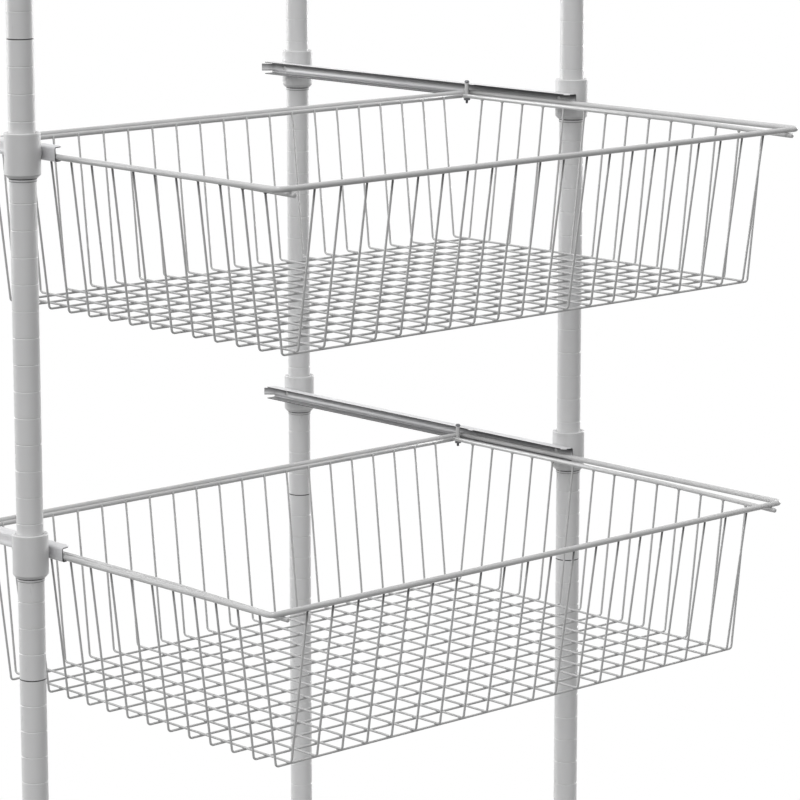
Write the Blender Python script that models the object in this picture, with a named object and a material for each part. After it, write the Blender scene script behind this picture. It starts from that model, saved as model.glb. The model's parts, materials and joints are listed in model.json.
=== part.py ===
"""Closet frame of four grooved posts, with two wire baskets that slide out on channel rails.

Units are metres. +Z is up, +X is to the right and -Y is the front, where the baskets pull out.
The origin is on the floor, at the middle of the whole part with both baskets pulled out.
The frame is laid out from the rear posts' axes, which are moved back from the origin by rear_y.
"""

from math import cos, pi, sin, sqrt, tan

import bmesh
import bpy
from mathutils import Vector

# Clearances
fit_gap = 0.0003            # between faces that touch or lie next to each other
weld_depth = 0.001          # how deep a wire sinks into the rod that it is welded to
cut_overrun = 0.002         # how far a cutter runs past what it cuts

# Posts
post_spacing_x = 0.7239     # between the axes of the left and right posts
post_spacing_y = 0.4438     # between the axes of the front and rear posts
post_radius = 0.0127
post_wall = 0.0012
groove_pitch = 0.0254       # the collars are set in steps of this length
grooves_per_section = 24
spigot_length = 0.030       # under each upper section, inside the one below
spigot_root = 0.012         # how far up the spigot is held in its own section
spigot_wall = 0.0012
base_plug_height = 0.014    # plug with the foot's thread, in the bottom section

# Levelling feet and caps
foot_radius = 0.016
foot_thickness = 0.006
foot_chamfer = 0.0015
foot_neck = 0.006           # from the foot's disc to the post
foot_stem_radius = 0.004
foot_stem_length = 0.026    # above the foot's disc
cap_thickness = 0.004
cap_chamfer = 0.0015
cap_plug_length = 0.014

# Collars and the split sleeves inside them
lower_collar_groove = 4     # grooves above the joint of the bottom and middle sections
upper_collar_groove = 19
collar_drop = 0.002         # from that groove down to the collar's lower edge
collar_height = 0.042
collar_wall = 0.0024        # at the collar's lower edge, before the chamfer
collar_bottom_chamfer = 0.0015
collar_chamfer_height = 0.004
collar_lip_setback = 0.0008 # of the rounded lip on top
collar_lip_height = 0.0012
sleeve_top_wall = 0.0009
sleeve_bottom_wall = 0.0015
sleeve_skirt_wall = 0.0007  # the part that shows under the collar
sleeve_skirt_height = 0.006
sleeve_step_height = 0.002
sleeve_setback = 0.002      # from the collar's top down to the sleeve's top
sleeve_slit = 0.0012

# Collar pads, which hold the rails
pad_width = 0.012
pad_height = 0.011
pad_stand = 0.00095         # from the collar's wall to the pad's face
pad_bury = 0.0002
rivet_radius = 0.0025

# Rails
rail_height = 0.014
rail_depth = 0.012
rail_wall = 0.001
rail_bend_radius = 0.002    # outside
rail_rise = 0.022           # from the collar's lower edge to the rail's middle
rail_front_overhang = 0.0252
rail_rear_overhang = 0.022
rail_nose_radius = 0.009    # on the front inner corners of the flanges
rail_tongue_length = 0.012  # the end of the web, bent in across the rail's rear
rail_tongue_height = 0.008
stop_ear_length = 0.007
stop_ear_width = 0.003

# Baskets
frame_rod_radius = 0.0028
side_rod_radius = 0.0023
wire_radius = 0.0011
frame_corner_radius = 0.0065
wire_pitch = 0.03086
cross_wire_count = 14
long_wire_count = 20
basket_depth = 0.1486       # from the side rods down to the long wires
wire_bend_radius = 0.0035
side_lean = 0.01845
rear_lean = 0.01626
front_lean = 0.0241
first_wire_setback = 0.03405    # from the frame's rear run to the first cross wire
front_margin = 0.006            # from the last cross wire to the foot of the front wall
side_rod_drop = 0.0024          # from the frame rod down to the side and rear rods
side_rod_slope_length = 0.147   # over which the side rods go down to pass under the front run
side_rod_nose = 0.00295         # sticking out under the frame's front run
wire_top_rise = 0.001           # the long wires' ends above the middle of their rods
full_pull_out = 0.3115      # from the rear posts' axes to the rear run, at the stop
lower_short_of_stop = 0.0123

# Stop screws
stop_sleeve_radius = 0.0023
stop_sleeve_bore = 0.0018
stop_sleeve_sink = 0.0007   # how deep the sleeve is welded into the side rod
stop_sleeve_setback = 0.0005
stop_sleeve_above = 0.0015  # over the rail's top
stop_sleeve_below = 0.0006  # under the rail's bottom
screw_radius = 0.0015
screw_head_radius = 0.0028
screw_head_height = 0.0024
screw_tail = 0.0034
nut_radius = 0.0037
nut_height = 0.0024

# Wall brackets
bracket_below_top = 0.060   # from the top of the rear posts to the bracket's middle
bracket_ring_wall = 0.002
bracket_ring_height = 0.020
bracket_arm_width = 0.014
bracket_arm_height = 0.012
bracket_reach = 0.040       # from the rear posts' axes to the wall
bracket_plate_width = 0.026
bracket_plate_height = 0.060
bracket_plate_thickness = 0.003
bracket_hole_radius = 0.0025
bracket_hole_spacing = 0.042

# Number of sides of the round pieces
post_sides = 16
collar_sides = 16
frame_rod_sides = 8
side_rod_sides = 8
wire_sides = 5
small_sides = 8
bend_steps = 2
corner_steps = 4
full_turn = 2 * pi

# Places worked out from the sizes above
section_length = groove_pitch * grooves_per_section
post_x = post_spacing_x / 2
foot_height = foot_thickness + foot_neck
joint_z = foot_height + section_length
post_top_z = foot_height + 3 * section_length
post_bore = post_radius - post_wall
spigot_radius = post_bore - fit_gap
sleeve_bore = post_radius + fit_gap
collar_radius = sleeve_bore + sleeve_bottom_wall + fit_gap + collar_wall
rail_web_x = post_x - collar_radius - pad_stand - fit_gap
rail_mouth_x = rail_web_x - rail_depth
frame_x = rail_web_x - rail_wall - fit_gap - frame_rod_radius
frame_above_rail = frame_rod_radius + fit_gap + rail_wall - rail_height / 2
stop_sleeve_x = rail_mouth_x - fit_gap - stop_sleeve_radius
stop_sleeve_y = -(frame_rod_radius + fit_gap + stop_sleeve_radius + stop_sleeve_setback)
side_rod_x = stop_sleeve_x - (stop_sleeve_radius + side_rod_radius - stop_sleeve_sink)
rod_clearance = frame_rod_radius + fit_gap + side_rod_radius
rear_rod_y = -sqrt(rod_clearance ** 2 - side_rod_drop ** 2)
long_wire_bottom_z = -side_rod_drop - basket_depth
cross_wire_bottom_z = long_wire_bottom_z - 2 * wire_radius - fit_gap
rear_wall_top_y = rear_rod_y - (side_rod_radius + wire_radius - weld_depth)
rear_wall_foot_y = rear_wall_top_y - rear_lean
last_wire_y = -(first_wire_setback + (cross_wire_count - 1) * wire_pitch)
front_wall_foot_y = last_wire_y - front_margin
front_wall_top_y = front_wall_foot_y - front_lean
frame_front_y = front_wall_top_y - (frame_rod_radius + fit_gap + wire_radius)
side_rod_rear_y = -(frame_rod_radius + fit_gap)
slope_front_y = frame_front_y + frame_rod_radius
slope_rear_y = slope_front_y + side_rod_slope_length
side_rod_front_y = frame_front_y - frame_rod_radius - side_rod_nose
part_front = -full_pull_out + side_rod_front_y
part_back = bracket_reach
rear_y = -(part_front + part_back) / 2

# Materials: base colour, roughness and metallic value
finishes = {
    "white_post_enamel": ((0.72, 0.73, 0.75), 0.38, 0.0),
    "white_wire_coat": ((0.78, 0.79, 0.80), 0.35, 0.0),
    "white_moulding": ((0.80, 0.81, 0.82), 0.45, 0.0),
    "zinc_plate": ((0.55, 0.56, 0.58), 0.32, 1.0),
    "dark_screw_steel": ((0.20, 0.20, 0.21), 0.35, 1.0),
    "grey_foot_rubber": ((0.25, 0.25, 0.26), 0.70, 0.0),
}


def clear_scene():
    """Remove what the scene starts with."""
    for found in list(bpy.data.objects):
        bpy.data.objects.remove(found)


def make_materials():
    """One Principled material for each finish."""
    made = {}
    for name, (colour, roughness, metallic) in finishes.items():
        material = bpy.data.materials.new(name)
        material.use_nodes = True
        shader = material.node_tree.nodes["Principled BSDF"]
        shader.inputs["Base Color"].default_value = (*colour, 1.0)
        shader.inputs["Roughness"].default_value = roughness
        shader.inputs["Metallic"].default_value = metallic
        made[name] = material
    return made


def finish_mesh(shape, name, smooth=True):
    """Turn a bmesh into a mesh with its faces pointing out."""
    bmesh.ops.recalc_face_normals(shape, faces=shape.faces)
    mesh = bpy.data.meshes.new(name)
    shape.to_mesh(mesh)
    shape.free()
    if smooth:
        mesh.shade_smooth()
        mesh.set_sharp_from_angle(angle=pi / 5)
    return mesh


def turned(name, profile, sides, open_angle=0.0):
    """Turn a closed outline of (radius, height) points about Z.

    An outline that touches the axis makes a solid. With an open angle, a slit is left at +X.
    """
    shape = bmesh.new()
    sweep = full_turn - open_angle
    steps = sides if open_angle else sides - 1
    rings = []
    axis_points = {}
    for step in range(steps + 1):
        angle = open_angle / 2 + sweep * step / sides
        ring = []
        for index, (radius, height) in enumerate(profile):
            if radius == 0:
                if index not in axis_points:
                    axis_points[index] = shape.verts.new((0, 0, height))
                ring.append(axis_points[index])
            else:
                ring.append(shape.verts.new((radius * cos(angle), radius * sin(angle), height)))
        rings.append(ring)
    pairs = list(zip(rings, rings[1:]))
    if not open_angle:
        pairs.append((rings[-1], rings[0]))
    for near, far in pairs:
        for index in range(len(profile)):
            after = (index + 1) % len(profile)
            corners = [near[index], far[index], far[after], near[after]]
            corners = [c for i, c in enumerate(corners) if c not in corners[:i]]
            if len(corners) > 2:
                shape.faces.new(corners)
    if open_angle:
        shape.faces.new(rings[0])
        shape.faces.new(rings[-1])
    return finish_mesh(shape, name)


def rounded_path(corners, radius, steps, closed=False):
    """Points along straight runs, with an arc of the given radius at each inner corner."""
    points = []
    count = len(corners)
    for index, corner in enumerate(corners):
        corner = Vector(corner)
        if not closed and index in (0, count - 1):
            points.append(corner)
            continue
        before = (Vector(corners[index - 1]) - corner).normalized()
        after = (Vector(corners[(index + 1) % count]) - corner).normalized()
        half = before.angle(after) / 2
        middle = corner + (before + after).normalized() * (radius / sin(half))
        start = corner + before * (radius / tan(half)) - middle
        end = corner + after * (radius / tan(half)) - middle
        turn = start.angle(end)
        for step in range(steps + 1):
            share = step / steps
            arm = start * sin((1 - share) * turn) + end * sin(share * turn)
            points.append(middle + arm / sin(turn))
    return points


def swept(name, points, radius, sides, closed=False):
    """A round rod along a flat path of points, with flat ends."""
    shape = bmesh.new()
    points = [Vector(point) for point in points]
    count = len(points)
    plane = Vector((0, 0, 0))
    for index in range(1, count - 1):
        plane += (points[index] - points[index - 1]).cross(points[index + 1] - points[index])
    if plane.length == 0:
        plane = (points[1] - points[0]).orthogonal()
    plane.normalize()
    rings = []
    for index, point in enumerate(points):
        to_here = (point - points[index - 1]).normalized()
        from_here = (points[(index + 1) % count] - point).normalized()
        if not closed and index == 0:
            to_here = from_here
        if not closed and index == count - 1:
            from_here = to_here
        along = (to_here + from_here).normalized()
        across = plane.cross(along)
        stretch = 1 / max(along.dot(to_here), cos(pi / 4))
        ring = []
        for side in range(sides):
            angle = full_turn * (side + 1 / 2) / sides
            offset = across * (cos(angle) * stretch) + plane * sin(angle)
            ring.append(shape.verts.new(point + offset * radius))
        rings.append(ring)
    pairs = list(zip(rings, rings[1:]))
    if closed:
        pairs.append((rings[-1], rings[0]))
    for near, far in pairs:
        for side in range(sides):
            after = (side + 1) % sides
            shape.faces.new((near[side], near[after], far[after], far[side]))
    if not closed:
        shape.faces.new(rings[0])
        shape.faces.new(rings[-1])
    return finish_mesh(shape, name)


def block(name, low, high):
    """A box between two corners."""
    shape = bmesh.new()
    bmesh.ops.create_cube(shape, size=1)
    for vert in shape.verts:
        vert.co = [
            low[axis] if vert.co[axis] < 0 else high[axis] for axis in range(3)
        ]
    return finish_mesh(shape, name, smooth=False)


def rod_between(name, start, end, radius, sides):
    """A straight round rod."""
    return swept(name, [start, end], radius, sides)


def prism(name, outline, start, end, place):
    """Push a flat outline from start to end. place turns (u, v, w) into a point."""
    shape = bmesh.new()
    near = [shape.verts.new(place(u, v, start)) for u, v in outline]
    far = [shape.verts.new(place(u, v, end)) for u, v in outline]
    shape.faces.new(near)
    shape.faces.new(far)
    for index in range(len(outline)):
        after = (index + 1) % len(outline)
        shape.faces.new((near[index], near[after], far[after], far[index]))
    return finish_mesh(shape, name)


def combined(name, base, others, operation):
    """Join meshes to a base mesh, or cut them from it, and return the solid that is left."""
    tools = bpy.data.collections.new(name + "_tools")
    bpy.context.scene.collection.children.link(tools)
    body = bpy.data.objects.new(name + "_body", base)
    bpy.context.scene.collection.objects.link(body)
    for mesh in others:
        tool = bpy.data.objects.new(mesh.name, mesh)
        tools.objects.link(tool)
    boolean = body.modifiers.new("combine", "BOOLEAN")
    boolean.operation = operation
    boolean.solver = "EXACT"
    boolean.operand_type = "COLLECTION"
    boolean.collection = tools
    depsgraph = bpy.context.evaluated_depsgraph_get()
    result = bpy.data.meshes.new_from_object(body.evaluated_get(depsgraph))
    result.name = name
    for tool in list(tools.objects):
        bpy.data.objects.remove(tool)
    bpy.data.objects.remove(body)
    bpy.data.collections.remove(tools)
    result.materials.clear()
    result.shade_smooth()
    result.set_sharp_from_angle(angle=pi / 5)
    return result


def add(name, mesh, material, location, turn=0.0, parent=None):
    """Place a mesh as a named object of the part."""
    placed = bpy.data.objects.new(name, mesh)
    bpy.context.scene.collection.objects.link(placed)
    if not mesh.materials:
        mesh.materials.append(material)
    placed.location = location
    placed.rotation_euler = (0, 0, turn)
    placed.parent = parent
    return placed


def post_section_meshes():
    """The bottom, middle and top sections of a post, each from its lower end at zero."""
    top = section_length - fit_gap
    plug_bore = foot_stem_radius + fit_gap
    bottom = [
        (post_radius, 0),
        (post_radius, top),
        (post_bore, top),
        (post_bore, base_plug_height),
        (plug_bore, base_plug_height),
        (plug_bore, 0),
    ]
    jointed = [
        (post_radius, 0),
        (post_radius, top),
        (post_bore, top),
        (post_bore, spigot_root),
        (spigot_radius - spigot_wall, spigot_root),
        (spigot_radius - spigot_wall, -spigot_length),
        (spigot_radius, -spigot_length),
        (spigot_radius, 0),
    ]
    lower = turned("bottom_section", bottom, post_sides)
    upper = turned("jointed_section", jointed, post_sides)
    return {"bottom": lower, "middle": upper, "top": upper}


def foot_mesh():
    """Levelling foot: a disc with a threaded stem, from the floor up."""
    outline = [
        (0, 0),
        (foot_radius, 0),
        (foot_radius, foot_thickness - foot_chamfer),
        (foot_radius - foot_chamfer, foot_thickness),
        (foot_stem_radius, foot_thickness),
        (foot_stem_radius, foot_thickness + foot_stem_length),
        (0, foot_thickness + foot_stem_length),
    ]
    return turned("foot", outline, post_sides)


def cap_mesh():
    """Post cap: a low dome with a plug, from the post's top edge at zero."""
    plug = post_bore - fit_gap
    outline = [
        (0, -cap_plug_length),
        (plug, -cap_plug_length),
        (plug, fit_gap),
        (post_radius, fit_gap),
        (post_radius, cap_thickness - cap_chamfer),
        (post_radius - cap_chamfer, cap_thickness),
        (0, cap_thickness),
    ]
    return turned("cap", outline, post_sides)


def sleeve_mesh():
    """Split sleeve that grips the post, from the collar's lower edge at zero."""
    outline = [
        (sleeve_bore, -sleeve_skirt_height),
        (sleeve_bore + sleeve_skirt_wall, -sleeve_skirt_height),
        (sleeve_bore + sleeve_skirt_wall, 0),
        (sleeve_bore + sleeve_bottom_wall, sleeve_step_height),
        (sleeve_bore + sleeve_top_wall, collar_height - sleeve_setback),
        (sleeve_bore, collar_height - sleeve_setback),
    ]
    return turned("sleeve", outline, collar_sides, sleeve_slit / sleeve_bore)


def collar_mesh():
    """Collar with the pad and rivet that hold the rail on its +X side, from its lower edge."""
    bore_bottom = sleeve_bore + sleeve_bottom_wall + fit_gap
    bore_top = sleeve_bore + sleeve_top_wall + fit_gap
    outline = [
        (bore_bottom, 0),
        (collar_radius - collar_bottom_chamfer, 0),
        (collar_radius, collar_chamfer_height),
        (collar_radius, collar_height - collar_lip_height),
        (collar_radius - collar_lip_setback, collar_height),
        (bore_top, collar_height),
    ]
    ring = turned("collar_ring", outline, collar_sides)
    flat_radius = collar_radius * cos(pi / collar_sides)
    pad_root = sqrt(flat_radius ** 2 - (pad_width / 2) ** 2) - pad_bury
    pad_face = collar_radius + pad_stand
    pad = block(
        "collar_pad",
        (pad_root, -pad_width / 2, rail_rise - pad_height / 2),
        (pad_face, pad_width / 2, rail_rise + pad_height / 2),
    )
    rivet = rod_between(
        "collar_rivet",
        (pad_face - pad_stand / 2, 0, rail_rise),
        (pad_face + rail_wall, 0, rail_rise),
        rivet_radius,
        small_sides,
    )
    return combined("collar", ring, [pad, rivet], "UNION")


def channel_outline():
    """The rail's section: (distance in from the web's outer face, height from the middle)."""
    half = rail_height / 2
    inner_radius = rail_bend_radius - rail_wall
    outer = []
    inner = []
    for step in range(bend_steps + 1):
        angle = pi / 2 * step / bend_steps
        outer.append((
            rail_bend_radius * (1 - sin(angle)),
            half - rail_bend_radius * (1 - cos(angle)),
        ))
        inner.append((
            rail_bend_radius - inner_radius * sin(angle),
            half - rail_bend_radius + inner_radius * cos(angle),
        ))
    upper = [(rail_depth, half)] + outer
    lower = [(u, -v) for u, v in reversed(upper)]
    inside = [(rail_depth, half - rail_wall)] + inner
    inside_lower = [(u, -v) for u, v in reversed(inside)]
    return upper + lower + [(u, v) for u, v in reversed(inside_lower)] + list(reversed(inside))


def rail_mesh(name, side):
    """Rail with its mouth towards the middle of the frame; side is 1 at the right, -1 left."""
    front = -(post_spacing_y + rail_front_overhang)
    half = rail_height / 2

    def place(u, v, w):
        return (side * (rail_web_x - u), w, v)

    outline = channel_outline()
    channel = prism(name + "_channel", outline, front, rail_rear_overhang, place)
    slant = rail_tongue_length / sqrt(2)
    bury = rail_wall / 2

    def place_tongue(u, v, w):
        return (side * (rail_web_x - u), rail_rear_overhang + v, w)

    tongue_outline = [
        (0, -bury),
        (rail_wall, -bury),
        (rail_wall, 0),
        (slant + rail_wall, slant),
        (slant, slant + rail_wall),
        (0, rail_wall),
    ]
    tongue = prism(
        name + "_tongue",
        tongue_outline,
        -rail_tongue_height / 2,
        rail_tongue_height / 2,
        place_tongue,
    )
    stop_y = -full_pull_out + stop_sleeve_y - stop_sleeve_radius - fit_gap
    joined_parts = [tongue]
    for end, low in (("top", half - rail_wall), ("bottom", -half)):
        joined_parts.append(block(
            name + "_ear_" + end,
            (side * rail_mouth_x - stop_ear_width, stop_y - stop_ear_length, low),
            (side * rail_mouth_x + stop_ear_width, stop_y, low + rail_wall),
        ))
    solid = combined(name + "_joined", channel, joined_parts, "UNION")
    cutters = []
    for index, hole_y in enumerate((-post_spacing_y, 0)):
        cutters.append(rod_between(
            name + "_hole_" + str(index),
            (side * (rail_web_x + cut_overrun), hole_y, 0),
            (side * (rail_web_x - rail_wall - cut_overrun), hole_y, 0),
            rivet_radius + fit_gap,
            small_sides,
        ))
    cutters.append(nose_cutter(name + "_nose", side, front))
    return combined(name, solid, cutters, "DIFFERENCE")


def nose_cutter(name, side, front):
    """What rounds the front inner corners of the flanges."""
    outline = [(rail_depth + cut_overrun, -cut_overrun), (rail_depth + cut_overrun, rail_nose_radius)]
    for step in range(corner_steps + 1):
        angle = pi / 2 * step / corner_steps
        outline.append((
            rail_depth - rail_nose_radius * (1 - cos(angle)),
            rail_nose_radius * (1 - sin(angle)),
        ))
    outline.append((rail_depth - rail_nose_radius, -cut_overrun))

    def place(u, v, w):
        return (side * (rail_web_x - u), front + v, w)

    reach = rail_height / 2 + cut_overrun
    return prism(name, outline, -reach, reach, place)


def frame_rod_mesh():
    """The basket's outer rod, from the middle of its rear run."""
    corners = [
        (frame_x, 0, 0),
        (-frame_x, 0, 0),
        (-frame_x, frame_front_y, 0),
        (frame_x, frame_front_y, 0),
    ]
    path = rounded_path(corners, frame_corner_radius, corner_steps, closed=True)
    return swept("frame_rod", path, frame_rod_radius, frame_rod_sides, closed=True)


def side_rod_level(y):
    """Height of the side rods' axes, which slope down to pass under the frame's front run."""
    share = min(max((slope_rear_y - y) / side_rod_slope_length, 0), 1)
    return -side_rod_drop - share * (rod_clearance - side_rod_drop)


def cross_wires_mesh():
    """Both side rods, the wires that run from side to side and the two stop sleeves."""
    side_rods = {}
    stations = (side_rod_rear_y, slope_rear_y, slope_front_y, side_rod_front_y)
    for side in (-1, 1):
        path = [(side * side_rod_x, y, side_rod_level(y)) for y in stations]
        side_rods[side] = swept("side_rod", path, side_rod_radius, side_rod_sides)
    welded = [side_rods[1]]
    foot_x = side_rod_x - side_lean
    for index in range(cross_wire_count):
        y = -(first_wire_setback + index * wire_pitch)
        corners = [
            (-side_rod_x, y, side_rod_level(y)),
            (-foot_x, y, cross_wire_bottom_z),
            (foot_x, y, cross_wire_bottom_z),
            (side_rod_x, y, side_rod_level(y)),
        ]
        path = rounded_path(corners, wire_bend_radius, bend_steps)
        welded.append(swept("cross_wire", path, wire_radius, wire_sides))
    sleeve_top = -frame_above_rail + rail_height / 2 + stop_sleeve_above
    sleeve_bottom = -frame_above_rail - rail_height / 2 - stop_sleeve_below
    bores = []
    for side in (-1, 1):
        place = (side * stop_sleeve_x, stop_sleeve_y)
        welded.append(rod_between(
            "stop_sleeve",
            (*place, sleeve_bottom),
            (*place, sleeve_top),
            stop_sleeve_radius,
            small_sides,
        ))
        bores.append(rod_between(
            "stop_sleeve_bore",
            (*place, sleeve_bottom - cut_overrun),
            (*place, sleeve_top + cut_overrun),
            stop_sleeve_bore,
            small_sides,
        ))
    solid = combined("cross_wires_welded", side_rods[-1], welded, "UNION")
    return combined("cross_wires", solid, bores, "DIFFERENCE")


def long_wires_mesh():
    """The rear rod and the wires that run from front to back."""
    rod_end = side_rod_x - side_rod_radius - fit_gap
    rear_rod = rod_between(
        "rear_rod",
        (-rod_end, rear_rod_y, -side_rod_drop),
        (rod_end, rear_rod_y, -side_rod_drop),
        side_rod_radius,
        side_rod_sides,
    )
    welded = []
    for index in range(long_wire_count):
        x = (index - (long_wire_count - 1) / 2) * wire_pitch
        corners = [
            (x, rear_wall_top_y, wire_top_rise - side_rod_drop),
            (x, rear_wall_foot_y, long_wire_bottom_z),
            (x, front_wall_foot_y, long_wire_bottom_z),
            (x, front_wall_top_y, wire_top_rise),
        ]
        path = rounded_path(corners, wire_bend_radius, bend_steps)
        welded.append(swept("long_wire", path, wire_radius, wire_sides))
    return combined("long_wires", rear_rod, welded, "UNION")


def stop_screw_mesh():
    """Stop screw, from the middle of the frame rod's level, head up."""
    under_head = -frame_above_rail + rail_height / 2 + stop_sleeve_above + fit_gap
    nut_top = -frame_above_rail - rail_height / 2 - stop_sleeve_below - fit_gap
    tip = nut_top - nut_height - screw_tail
    outline = [
        (0, tip),
        (screw_radius, tip),
        (screw_radius, under_head),
        (screw_head_radius, under_head),
        (screw_head_radius, under_head + screw_head_height / 2),
        (screw_radius, under_head + screw_head_height),
        (0, under_head + screw_head_height),
    ]
    return turned("stop_screw", outline, small_sides)


def stop_nut_mesh():
    """Hexagonal nut of the stop screw, at the same level."""
    top = -frame_above_rail - rail_height / 2 - stop_sleeve_below - fit_gap
    bore = screw_radius + fit_gap
    shape = bmesh.new()
    rings = []
    for radius, height in ((nut_radius, top - nut_height), (nut_radius, top), (bore, top),
                           (bore, top - nut_height)):
        ring = []
        for corner in range(6):
            angle = full_turn * corner / 6
            ring.append(shape.verts.new((radius * cos(angle), radius * sin(angle), height)))
        rings.append(ring)
    for index, near in enumerate(rings):
        far = rings[(index + 1) % len(rings)]
        for corner in range(6):
            after = (corner + 1) % 6
            shape.faces.new((near[corner], near[after], far[after], far[corner]))
    return finish_mesh(shape, "stop_nut")


def wall_bracket_mesh():
    """Clip round a rear post, with an arm back to a plate on the wall."""
    half_ring = bracket_ring_height / 2
    outline = [
        (sleeve_bore, -half_ring),
        (sleeve_bore + bracket_ring_wall, -half_ring),
        (sleeve_bore + bracket_ring_wall, half_ring),
        (sleeve_bore, half_ring),
    ]
    ring = turned("bracket_ring", outline, collar_sides)
    flat_radius = (sleeve_bore + bracket_ring_wall) * cos(pi / collar_sides)
    arm_root = sqrt(flat_radius ** 2 - (bracket_arm_width / 2) ** 2) - pad_bury
    plate_front = bracket_reach - bracket_plate_thickness
    arm = block(
        "bracket_arm",
        (-bracket_arm_width / 2, arm_root, -bracket_arm_height / 2),
        (bracket_arm_width / 2, plate_front + bracket_plate_thickness / 2, bracket_arm_height / 2),
    )
    plate = block(
        "bracket_plate",
        (-bracket_plate_width / 2, plate_front, -bracket_plate_height / 2),
        (bracket_plate_width / 2, bracket_reach, bracket_plate_height / 2),
    )
    solid = combined("bracket_joined", ring, [arm, plate], "UNION")
    holes = []
    for level in (-1, 1):
        z = level * bracket_hole_spacing / 2
        holes.append(rod_between(
            "bracket_hole",
            (0, plate_front - cut_overrun, z),
            (0, bracket_reach + cut_overrun, z),
            bracket_hole_radius,
            small_sides,
        ))
    return combined("wall_bracket", solid, holes, "DIFFERENCE")


def build_posts(materials):
    """Four posts, each of three sections with a foot and a cap."""
    sections = post_section_meshes()
    foot = foot_mesh()
    cap = cap_mesh()
    for row, y in (("front", rear_y - post_spacing_y), ("rear", rear_y)):
        for hand, x in (("left", -post_x), ("right", post_x)):
            corner = row + "_" + hand
            for index, (level, mesh) in enumerate(sections.items()):
                z = foot_height + index * section_length
                name = corner + "_post_" + level
                add(name, mesh, materials["white_post_enamel"], (x, y, z))
            add(corner + "_foot", foot, materials["grey_foot_rubber"], (x, y, 0))
            add(corner + "_cap", cap, materials["white_moulding"], (x, y, post_top_z))


def build_rails(materials):
    """Four rails with the collars and sleeves that carry them."""
    collar = collar_mesh()
    sleeve = sleeve_mesh()
    rails = {"left": rail_mesh("left_rail", -1), "right": rail_mesh("right_rail", 1)}
    for level, groove in (("lower", lower_collar_groove), ("upper", upper_collar_groove)):
        collar_z = joint_z + groove * groove_pitch - collar_drop
        for hand, x, turn in (("left", -post_x, 0.0), ("right", post_x, pi)):
            name = level + "_" + hand
            place = (0, rear_y, collar_z + rail_rise)
            add(name + "_rail", rails[hand], materials["zinc_plate"], place)
            for row, y in (("front", rear_y - post_spacing_y), ("rear", rear_y)):
                name = level + "_" + row + "_" + hand
                add(name + "_collar", collar, materials["white_moulding"], (x, y, collar_z), turn)
                add(name + "_sleeve", sleeve, materials["white_moulding"], (x, y, collar_z), turn)


def build_baskets(materials):
    """Both baskets, each under an empty on the middle of its frame rod's rear run."""
    frame_rod = frame_rod_mesh()
    cross_wires = cross_wires_mesh()
    long_wires = long_wires_mesh()
    screw = stop_screw_mesh()
    nut = stop_nut_mesh()
    coat = materials["white_wire_coat"]
    steel = materials["dark_screw_steel"]
    for level, groove, short in (("lower", lower_collar_groove, lower_short_of_stop),
                                 ("upper", upper_collar_groove, 0)):
        rail_z = joint_z + groove * groove_pitch - collar_drop + rail_rise
        carrier = bpy.data.objects.new(level + "_basket", None)
        bpy.context.scene.collection.objects.link(carrier)
        carrier.location = (0, rear_y - full_pull_out + short, rail_z + frame_above_rail)
        base = level + "_basket_"
        add(base + "frame_rod", frame_rod, coat, (0, 0, 0), parent=carrier)
        add(base + "cross_wires", cross_wires, coat, (0, 0, 0), parent=carrier)
        add(base + "long_wires", long_wires, coat, (0, 0, 0), parent=carrier)
        for hand, side in (("left", -1), ("right", 1)):
            place = (side * stop_sleeve_x, stop_sleeve_y, 0)
            name = level + "_" + hand + "_stop_"
            add(name + "screw", screw, steel, place, parent=carrier)
            add(name + "nut", nut, steel, place, parent=carrier)


def build_brackets(materials):
    """A wall bracket on each rear post."""
    bracket = wall_bracket_mesh()
    z = post_top_z - bracket_below_top
    for hand, x in (("left", -post_x), ("right", post_x)):
        add(hand + "_wall_bracket", bracket, materials["white_moulding"], (x, rear_y, z))


def main():
    clear_scene()
    materials = make_materials()
    build_posts(materials)
    build_rails(materials)
    build_baskets(materials)
    build_brackets(materials)


main()
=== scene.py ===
"""Looks of the closet frame with two pull-out wire baskets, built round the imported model.

Units are metres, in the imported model's frame: +Z is up, +X is to the right and -Y is the front.
Each piece stands where its node stands and has the same sizes, with finer surfaces.
"""

import json
from math import cos, pi, radians, sin, sqrt, tan

import bmesh
import bpy
from mathutils import Matrix, Vector

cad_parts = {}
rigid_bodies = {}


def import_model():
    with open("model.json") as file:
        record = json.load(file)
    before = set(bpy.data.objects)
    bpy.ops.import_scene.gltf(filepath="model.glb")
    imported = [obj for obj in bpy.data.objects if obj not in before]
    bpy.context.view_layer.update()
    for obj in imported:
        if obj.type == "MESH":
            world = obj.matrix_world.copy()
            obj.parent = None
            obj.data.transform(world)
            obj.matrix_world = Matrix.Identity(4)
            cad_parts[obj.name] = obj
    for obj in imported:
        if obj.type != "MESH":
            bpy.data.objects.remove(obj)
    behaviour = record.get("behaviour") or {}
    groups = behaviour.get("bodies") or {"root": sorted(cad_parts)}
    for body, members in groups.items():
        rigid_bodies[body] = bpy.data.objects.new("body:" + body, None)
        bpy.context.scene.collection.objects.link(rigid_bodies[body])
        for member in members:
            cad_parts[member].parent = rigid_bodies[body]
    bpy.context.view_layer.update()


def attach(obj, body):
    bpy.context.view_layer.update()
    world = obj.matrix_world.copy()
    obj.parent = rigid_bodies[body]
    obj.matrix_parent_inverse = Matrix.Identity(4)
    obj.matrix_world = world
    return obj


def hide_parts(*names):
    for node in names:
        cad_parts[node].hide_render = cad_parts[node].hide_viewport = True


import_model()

FULL_TURN = 2 * pi
SHARP_ANGLE = radians(35)    # edges over this stay sharp
HAND_SIDES = (("left", -1), ("right", 1))

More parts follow.
